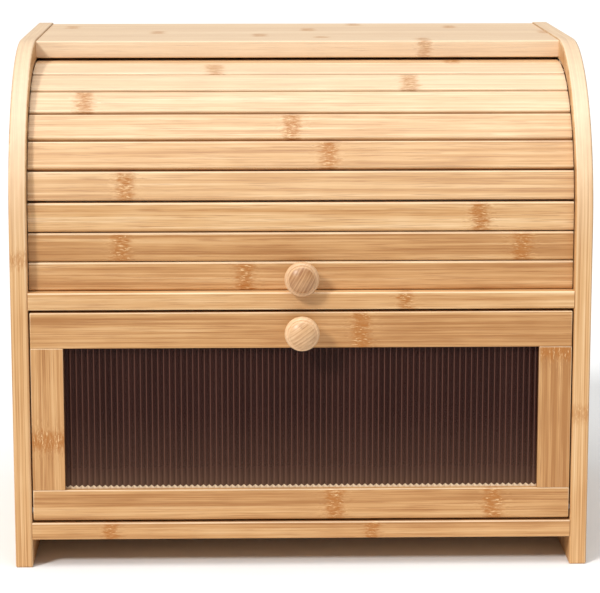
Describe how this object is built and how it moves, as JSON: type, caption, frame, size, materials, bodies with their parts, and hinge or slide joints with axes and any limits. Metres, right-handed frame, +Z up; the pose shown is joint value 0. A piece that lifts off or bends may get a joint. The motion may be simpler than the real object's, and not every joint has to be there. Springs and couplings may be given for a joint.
{
  "type": "bread box with roll top",
  "caption": "Two-tier bamboo bread box: a slatted roll-top door over a shelf, and below it a flap door with a reeded pane and a turned knob.",
  "frame": {"origin": "on the table, under the middle of the box (knobs included)", "axes": "+X to the right across the width, +Y from the front to the back, +Z up"},
  "size_m": [0.4, 0.302, 0.3595],
  "materials": {
    "bamboo": "satin clear lacquer on laminated bamboo",
    "bamboo_ply": "thin bamboo ply, lightly lacquered",
    "turned_wood": "turned hardwood, satin lacquer",
    "canvas": "plain woven cotton canvas",
    "smoked_pane": "reeded translucent pane, gloss",
    "steel": "zinc-plated steel",
    "brown_plastic": "moulded brown plastic"
  },
  "bodies": {
    "case": {"side_panel_left": "bamboo", "side_panel_right": "bamboo", "top_board": "bamboo", "middle_shelf": "bamboo", "bottom_board": "bamboo", "back_panel": "bamboo_ply", "hinge_bushes": "brown_plastic", "catch_housing": "brown_plastic", "catch_magnets": "steel", "catch_screws": "steel", "side_screws_left": "steel", "side_screws_right": "steel", "board_dowels_left": "turned_wood", "board_dowels_right": "turned_wood"},
    "door": {"door_top_rail": "bamboo", "door_bottom_rail": "bamboo", "door_stile_left": "bamboo", "door_stile_right": "bamboo", "reeded_pane": "smoked_pane", "pane_beads": "bamboo", "door_dowels": "turned_wood", "door_knob": "turned_wood", "door_knob_screw": "steel", "door_hinge_pins": "steel", "strike_plate": "steel", "strike_screws": "steel"},
    "slat_01": {"slat_01": "bamboo", "canvas_01": "canvas", "roll_knob": "turned_wood", "roll_knob_screw": "steel"},
    "slat_02": {"slat_02": "bamboo", "canvas_02": "canvas"},
    "slat_03": {"slat_03": "bamboo", "canvas_03": "canvas"},
    "slat_04": {"slat_04": "bamboo", "canvas_04": "canvas"},
    "slat_05": {"slat_05": "bamboo", "canvas_05": "canvas"},
    "slat_06": {"slat_06": "bamboo", "canvas_06": "canvas"},
    "slat_07": {"slat_07": "bamboo", "canvas_07": "canvas"},
    "slat_08": {"slat_08": "bamboo", "canvas_08": "canvas"},
    "slat_09": {"slat_09": "bamboo", "canvas_09": "canvas"},
    "slat_10": {"slat_10": "bamboo", "canvas_10": "canvas"},
    "slat_11": {"slat_11": "bamboo", "canvas_11": "canvas"}
  },
  "joints": [
    {"name": "roll_top", "type": "hinge", "parent": "case", "child": "slat_01", "pos_m": [0, 0.01778, 0.22429], "axis": [-1, 0, 0], "range_deg": [0, 53.41]},
    {"name": "slat_02_turn", "type": "hinge", "parent": "case", "child": "slat_02", "pos_m": [0, -0.00672, 0.23462], "axis": [-1, 0, 0], "range_deg": [0, 65.98]},
    {"name": "slat_03_turn", "type": "hinge", "parent": "case", "child": "slat_03", "pos_m": [0, -0.01995, 0.24342], "axis": [-1, 0, 0], "range_deg": [0, 76.49]},
    {"name": "slat_04_turn", "type": "hinge", "parent": "case", "child": "slat_04", "pos_m": [0, -0.0192, 0.24224], "axis": [-1, 0, 0], "range_deg": [0, 75.45]},
    {"name": "slat_05_turn", "type": "hinge", "parent": "case", "child": "slat_05", "pos_m": [0, -0.00998, 0.22665], "axis": [-1, 0, 0], "range_deg": [0, 63.94]},
    {"name": "slat_06_turn", "type": "hinge", "parent": "case", "child": "slat_06", "pos_m": [0, -0.00015, 0.19998], "axis": [-1, 0, 0], "range_deg": [0, 51.37]},
    {"name": "slat_07_turn", "type": "hinge", "parent": "case", "child": "slat_07", "pos_m": [0, 0.00988, 0.15482], "axis": [-1, 0, 0], "range_deg": [0, 38.8]},
    {"name": "slat_08_turn", "type": "hinge", "parent": "case", "child": "slat_08", "pos_m": [0, 0.01976, 0.0653], "axis": [-1, 0, 0], "range_deg": [0, 26.24]},
    {"name": "slat_09_turn", "type": "hinge", "parent": "case", "child": "slat_09", "pos_m": [0, 0.02907, -0.18887], "axis": [-1, 0, 0], "range_deg": [0, 13.67]},
    {"name": "slat_10_turn", "type": "hinge", "parent": "case", "child": "slat_10", "pos_m": [0, 0.02399, -2.99208], "axis": [-1, 0, 0], "range_deg": [0, 2.17]},
    {"name": "slat_11_slide", "type": "slide", "parent": "case", "child": "slat_11", "axis": [0, 1, -0.0079], "range_m": [0, 0.12601]},
    {"name": "door_hinge", "type": "hinge", "parent": "case", "child": "door", "pos_m": [0, -0.123, 0.0402], "axis": [1, 0, 0], "range_deg": [0, 90]}
  ],
  "couplings": [
    {"joint": "slat_02_turn", "follows": "roll_top", "ratio": 1.2353},
    {"joint": "slat_03_turn", "follows": "roll_top", "ratio": 1.4319},
    {"joint": "slat_04_turn", "follows": "roll_top", "ratio": 1.4125},
    {"joint": "slat_05_turn", "follows": "roll_top", "ratio": 1.197},
    {"joint": "slat_06_turn", "follows": "roll_top", "ratio": 0.96175},
    {"joint": "slat_07_turn", "follows": "roll_top", "ratio": 0.72646},
    {"joint": "slat_08_turn", "follows": "roll_top", "ratio": 0.49117},
    {"joint": "slat_09_turn", "follows": "roll_top", "ratio": 0.25587},
    {"joint": "slat_10_turn", "follows": "roll_top", "ratio": 0.040591},
    {"joint": "slat_11_slide", "follows": "roll_top", "m_per_rad": 0.13516}
  ]
}
